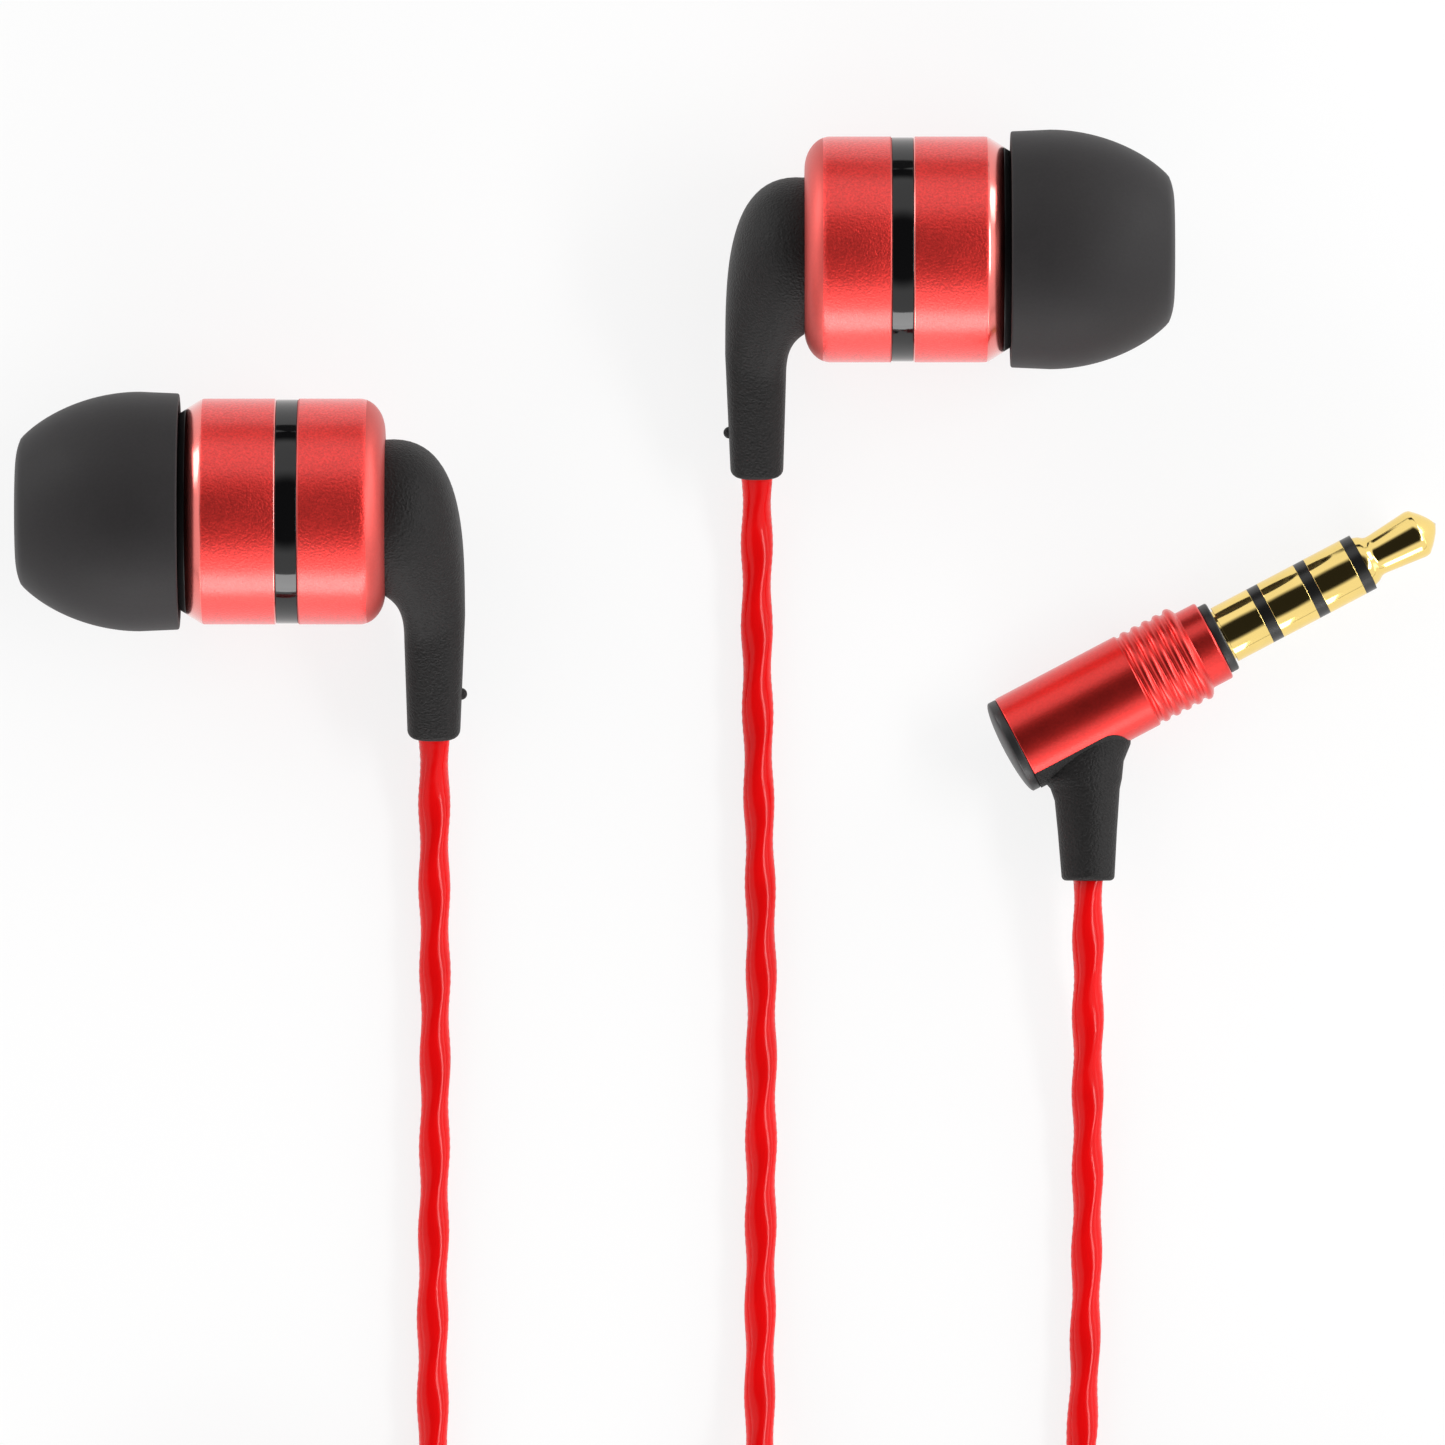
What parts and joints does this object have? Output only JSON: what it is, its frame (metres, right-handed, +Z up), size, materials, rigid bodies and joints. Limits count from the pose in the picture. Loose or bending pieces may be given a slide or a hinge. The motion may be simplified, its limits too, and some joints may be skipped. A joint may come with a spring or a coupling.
{
  "type": "wired earphones",
  "caption": "Wired in-ear earphones: two round metal housings with silicone tips and elbow boots on a lead with an in-line remote, a Y joint and an angled four-pole plug.",
  "frame": {"origin": "on the table under the middle of the two earpieces, the free cord and what is on it left out", "axes": "+Z up from the table, +X along both earpieces towards the right ear tip, +Y from the cords' end towards the earpieces"},
  "size_m": [0.0829, 0.1462, 0.0139],
  "materials": {
    "red_anodised": "bead-blasted and red anodised",
    "gloss_black_ring": "polished black",
    "tip_silicone": "matt silicone",
    "black_abs": "fine moulded",
    "button_plastic": "satin moulded",
    "boot_rubber": "fine grained matt",
    "steel": "satin",
    "magnet_nickel": "nickel plated",
    "copper_wire": "enamelled copper winding",
    "polymer_film": "thin clear film",
    "circuit_board": "solder mask",
    "gold_plate": "polished gold plate",
    "cord_pvc": "glossy soft jacket"
  },
  "bodies": {
    "root": {"left_nozzle": "black_abs", "left_nozzle_mesh": "steel", "left_front_shell": "red_anodised", "left_band": "gloss_black_ring", "left_rear_shell": "red_anodised", "left_boot": "boot_rubber", "left_driver_frame": "black_abs", "left_yoke": "steel", "left_magnet": "magnet_nickel", "left_top_plate": "steel", "left_terminal_board": "circuit_board", "right_nozzle": "black_abs", "right_nozzle_mesh": "steel", "right_front_shell": "red_anodised", "right_band": "gloss_black_ring", "right_rear_shell": "red_anodised", "right_boot": "boot_rubber", "right_driver_frame": "black_abs", "right_yoke": "steel", "right_magnet": "magnet_nickel", "right_top_plate": "steel", "right_terminal_board": "circuit_board", "plug_tip": "gold_plate", "plug_ring_1": "gold_plate", "plug_ring_2": "gold_plate", "plug_sleeve": "gold_plate", "plug_insulators": "black_abs", "plug_washer": "black_abs", "plug_barrel": "red_anodised", "plug_end_cap": "black_abs", "plug_boot": "boot_rubber", "splitter_sleeve": "red_anodised", "splitter_core": "boot_rubber", "remote_back": "black_abs", "remote_front": "black_abs", "remote_board": "circuit_board", "remote_switches": "steel", "remote_microphone": "steel", "remote_reliefs": "boot_rubber", "left_cord": "cord_pvc", "left_coil": "cord_pvc", "left_cord_lower": "cord_pvc", "right_cord": "cord_pvc", "right_cord_middle": "cord_pvc", "right_coil": "cord_pvc", "right_cord_lower": "cord_pvc", "main_cord_lower": "cord_pvc", "main_coil": "cord_pvc", "main_cord": "cord_pvc"},
    "left_tip": {"left_ear_tip": "tip_silicone"},
    "left_cone": {"left_voice_coil": "copper_wire", "left_diaphragm": "polymer_film"},
    "right_tip": {"right_ear_tip": "tip_silicone"},
    "right_cone": {"right_voice_coil": "copper_wire", "right_diaphragm": "polymer_film"},
    "volume_up": {"volume_up_button": "button_plastic"},
    "centre": {"centre_button": "button_plastic"},
    "volume_down": {"volume_down_button": "button_plastic"}
  },
  "joints": [
    {"name": "left_tip_slide", "type": "slide", "parent": "root", "child": "left_tip", "axis": [-1, 0, 0], "range_m": [0, 0.0075]},
    {"name": "right_tip_slide", "type": "slide", "parent": "root", "child": "right_tip", "axis": [1, 0, 0], "range_m": [0, 0.0075]},
    {"name": "left_cone_stroke", "type": "slide", "parent": "root", "child": "left_cone", "axis": [-1, 0, 0], "range_m": [-0.00015, 0.00015], "stiffness_N_per_m": 400},
    {"name": "right_cone_stroke", "type": "slide", "parent": "root", "child": "right_cone", "axis": [1, 0, 0], "range_m": [-0.00015, 0.00015], "stiffness_N_per_m": 400},
    {"name": "volume_up_press", "type": "slide", "parent": "root", "child": "volume_up", "axis": [0, 0, -1], "range_m": [0, 0.0003], "stiffness_N_per_m": 3000},
    {"name": "centre_press", "type": "slide", "parent": "root", "child": "centre", "axis": [0, 0, -1], "range_m": [0, 0.0003], "stiffness_N_per_m": 3000},
    {"name": "volume_down_press", "type": "slide", "parent": "root", "child": "volume_down", "axis": [0, 0, -1], "range_m": [0, 0.0003], "stiffness_N_per_m": 3000}
  ]
}
